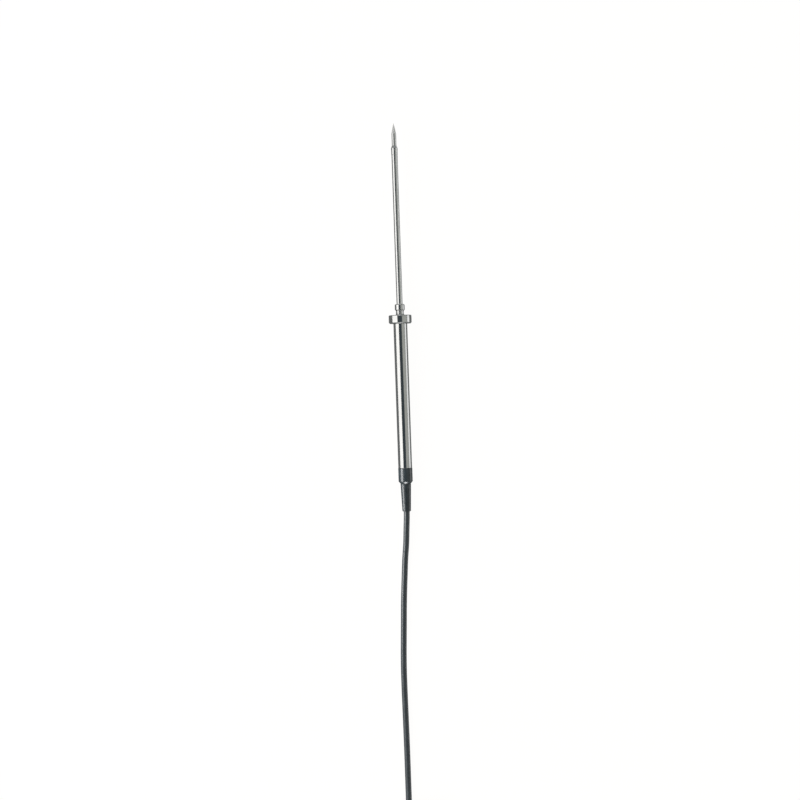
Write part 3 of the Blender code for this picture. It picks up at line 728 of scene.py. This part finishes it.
def make_strap():
    """A hook-and-loop strap: one band wound round the bundle, its end lapped over its start."""
    low, high = (Vector(v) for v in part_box("cable_tie"))
    middle, half = (low + high) / 2, (high - low) / 2
    width = high.y - low.y

    def at(share, depth):
        """A point of a rounded square, share of the way round from its top's middle, and depth inside it."""
        hx, hz, c = half.x - depth, half.z - depth, STRAP_CORNER - depth
        sides = [hx - c, c * math.pi / 2, 2 * (hz - c), c * math.pi / 2, 2 * (hx - c)]
        sides += [c * math.pi / 2, 2 * (hz - c), c * math.pi / 2, hx - c]
        left = (share % 1.0) * sum(sides)
        # Straight sides hold their start and direction, corners their centre and their two angles.
        spots = [
            (0, hz, 1, 0),
            (hx - c, hz - c, 90, 0),
            (hx, hz - c, 0, -1),
            (hx - c, c - hz, 0, -90),
            (hx - c, -hz, -1, 0),
            (c - hx, c - hz, -90, -180),
            (-hx, c - hz, 0, 1),
            (c - hx, hz - c, 180, 90),
            (c - hx, hz, 1, 0),
        ]
        for i, length in enumerate(sides):
            if left <= length or i == len(sides) - 1:
                x, z, u, v = spots[i]
                if i % 2 == 0:
                    return x + u * left, z + v * left
                turn = math.radians(u + (v - u) * left / length)
                return x + c * math.cos(turn), z + c * math.sin(turn)
            left -= length

    made = bmesh.new()
    rows = []
    for k in range(STRAP_STEPS + 1):
        share = STRAP_START + (STRAP_END - STRAP_START) * k / STRAP_STEPS
        # The first lap lies inside, and the lapped end comes out over it.
        out = eased((share - LAP_OUT_AT) / LAP_OUT_OVER)
        depth = STRAP_THICKNESS + STRAP_INSET - out * (STRAP_THICKNESS + LAP_OUT)
        outer, inner = at(share, depth), at(share, depth + STRAP_THICKNESS)
        near_end = min(k, STRAP_STEPS - k) < STRAP_END_STEPS
        outside, inside = [], []
        for y_share in STRAP_ACROSS:
            y = middle.y + width * y_share * (STRAP_END_NARROWING if near_end else 1.0)
            thin = STRAP_EDGE_THINNING if abs(y_share) == 0.5 else 0.0
            a = [o + (i - o) * thin for o, i in zip(outer, inner)]
            b = [i + (o - i) * thin for o, i in zip(outer, inner)]
            outside.append(Vector((middle.x + a[0], y, middle.z + a[1])))
            inside.append(Vector((middle.x + b[0], y, middle.z + b[1])))
        rows.append([made.verts.new(p) for p in outside + inside[::-1]])
    count = len(rows[0])
    for upper, lower in zip(rows, rows[1:]):
        for i in range(count):
            made.faces.new((upper[i], lower[i], lower[(i + 1) % count], upper[(i + 1) % count]))
    made.faces.new(rows[0])
    made.faces.new(rows[-1])
    bmesh.ops.recalc_face_normals(made, faces=made.faces)
    mesh = bpy.data.meshes.new("strap")
    made.to_mesh(mesh)
    made.free()
    shade_smooth(mesh)
    return dress(new_object("strap", mesh), "cable_tie", STRAP)


# --- Floor and light ------------------------------------------------------------------------------

FLOOR_HALF = 6.0
FLOOR_GAP = 0.1 * MM
FLOOR_COLOUR = (0.07, 0.07, 0.07)
FLOOR_GLOW = 0.97
FLOOR_GLOW_COLOUR = (1.0, 0.993, 0.984, 1.0)
TIP_END = 1
CABLE_END = -1
STRIP = {"distance": 1.2, "length": 1.3}
HORIZON = (0.46, 0.54)
LOWER_ROOM = (0.20, 0.21, 0.21, 1.0)
UPPER_ROOM = (0.055, 0.070, 0.080, 1.0)
BACKDROP = (0.97, 0.963, 0.955, 1.0)


def make_floor():
    """A sheet just under the probe, almost white by its own glow, so that shadows on it stay faint."""
    mesh = bpy.data.meshes.new("floor")
    corners = ((-1, -1), (1, -1), (1, 1), (-1, 1))
    mesh.from_pydata([(x * FLOOR_HALF, y * FLOOR_HALF, -FLOOR_GAP) for x, y in corners], [], [(0, 1, 2, 3)])
    floor = new_object("floor", mesh)
    look = Look("floor_white", FLOOR_COLOUR, 0.9, Emission_Strength=FLOOR_GLOW)
    look.set("Emission Color", FLOOR_GLOW_COLOUR)
    look.set("Specular IOR Level", 0.0)
    mesh.materials.append(look.material)
    floor.visible_glossy = False


def panel(name, angle_deg, distance, width, length, radiance, colour=(1.0, 1.0, 1.0), centre_y=0.0):
    """A soft light, angle_deg to the right of straight up, facing the probe."""
    data = bpy.data.lights.new(name, "AREA")
    data.shape = "RECTANGLE"
    data.size = width
    data.size_y = length
    # A one-sided panel of area A and radiance L gives pi * A * L watts.
    data.energy = math.pi * width * length * radiance
    data.color = colour
    light = new_object(name, data)
    angle = math.radians(angle_deg)
    light.location = (distance * math.sin(angle), centre_y, distance * math.cos(angle))
    light.rotation_euler = (0.0, angle, 0.0)
    light.visible_camera = False
    return light


def side_panel(
    name, from_deg, to_deg, radiance, distance=1.3, length=2.2, colour=(1.0, 1.0, 1.0), centre_y=0.0
):
    """A panel on one side, that the probe sees between two angles from straight up, positive to the right."""
    middle, half = (from_deg + to_deg) / 2, abs(to_deg - from_deg) / 2
    width = 2 * distance * math.tan(math.radians(half))
    return panel(name, middle, distance, width, length, radiance, colour, centre_y)


def end_panel(name, towards, elevation_deg, distance, width, height, radiance):
    """A panel past one end of the probe, TIP_END or CABLE_END, facing it."""
    angle = math.radians(elevation_deg)
    light = panel(name, 0.0, 0.0, width, height, radiance)
    light.location = (0.0, towards * distance * math.cos(angle), distance * math.sin(angle))
    light.rotation_euler = (-towards * (math.pi / 2 - angle), 0.0, 0.0)
    return light


def only_on(light, pieces):
    """Keeps a light on these pieces, as a photographer flags a lamp off bright metal."""
    lit = bpy.data.collections.new(f"lit_by_{light.name}")
    for piece in pieces:
        lit.objects.link(piece)
    light.light_linking.receiver_collection = lit


def make_lights(cable, cap, relief):
    """Soft lights for the whole probe, and strips for its black pieces only."""
    side_panel("softbox_left", -84.0, -28.5, 1.55, colour=(1.0, 0.985, 0.965))
    side_panel("wall_right", 20.5, 70.0, 0.44, colour=(0.985, 0.985, 0.895))
    side_panel("strip_right", 75.0, 104.0, 1.10)
    end_panel("wall_front", TIP_END, 48.0, 1.5, 2.2, 0.80, 0.34)
    end_panel("low_front", TIP_END, 3.0, 1.5, 0.66, 0.20, 1.5)
    only_on(side_panel("strip_left", -72.0, -50.0, 13.0, centre_y=0.12, **STRIP), [cap])
    only_on(side_panel("strip_relief", -86.0, -63.0, 12.0, centre_y=0.12, **STRIP), [relief])
    # This strip ends early, so that the cable's gleam fades away from the probe.
    only_on(side_panel("strip_cable", -82.0, -46.0, 10.0, centre_y=0.32, **STRIP), [cable])
    only_on(side_panel("edge_right", 88.0, 112.0, 1.2), [cable, cap, relief])
    only_on(end_panel("low_rear", CABLE_END, 3.5, 1.5, 0.66, 0.16, 30.0), [cap])
    end_panel("wall_rear", CABLE_END, 40.0, 1.5, 2.2, 1.10, 0.55)
    end_panel("low_rear_wall", CABLE_END, 5.0, 1.7, 1.6, 0.34, 1.0)


def make_world():
    """The dim room that metal reflects, brighter below the horizon, the pale backdrop, and the view
    settings."""
    world = bpy.data.worlds.new("studio")
    world.use_nodes = True
    bpy.context.scene.world = world
    nodes, links = world.node_tree.nodes, world.node_tree.links
    place = nodes.new("ShaderNodeTexCoord").outputs["Generated"]
    apart = nodes.new("ShaderNodeSeparateXYZ")
    links.new(place, apart.inputs[0])
    ramp = nodes.new("ShaderNodeValToRGB")
    for element, position, colour in zip(ramp.color_ramp.elements, HORIZON, (LOWER_ROOM, UPPER_ROOM)):
        element.position = position
        element.color = colour
    # The height of a direction, from -1 to 1, becomes 0 to 1.
    half = nodes.new("ShaderNodeMath")
    half.operation = "MULTIPLY_ADD"
    half.inputs[1].default_value = 0.5
    half.inputs[2].default_value = 0.5
    links.new(apart.outputs["Z"], half.inputs[0])
    links.new(half.outputs[0], ramp.inputs[0])
    # The camera sees a pale backdrop, and the metal a darker room.
    seen = nodes.new("ShaderNodeLightPath").outputs["Is Camera Ray"]
    shown = nodes.new("ShaderNodeMix")
    shown.data_type = "RGBA"
    shown.inputs["B"].default_value = BACKDROP
    links.new(seen, shown.inputs[0])
    links.new(ramp.outputs["Color"], shown.inputs["A"])
    links.new(shown.outputs["Result"], nodes["Background"].inputs["Color"])
    settings = bpy.context.scene.view_settings
    settings.view_transform = "Standard"
    settings.look = "None"


make_camera()
cable, cable_exit = make_cable()
make_probe()
make_plug()
strap = make_strap()
dress_cad_nodes()
make_floor()
make_lights(cable, bpy.data.objects["rear_cap_fine"], bpy.data.objects["strain_relief_fine"])
make_world()

plug_fine = ("plug_relief", "clamp_nut", "plug_body", "coupling_nut")
plug_inner = ("retaining_ring", "contact_insert", "plug_core_1", "plug_core_2")
plug_pieces = [bpy.data.objects[f"{node}_fine"] for node in plug_fine]
plug_pieces += [frame["nodes"][node] for node in plug_inner]
plug_pieces += [frame["nodes"][f"contact_pin_{number}"] for number in (1, 2, 3, 4)]
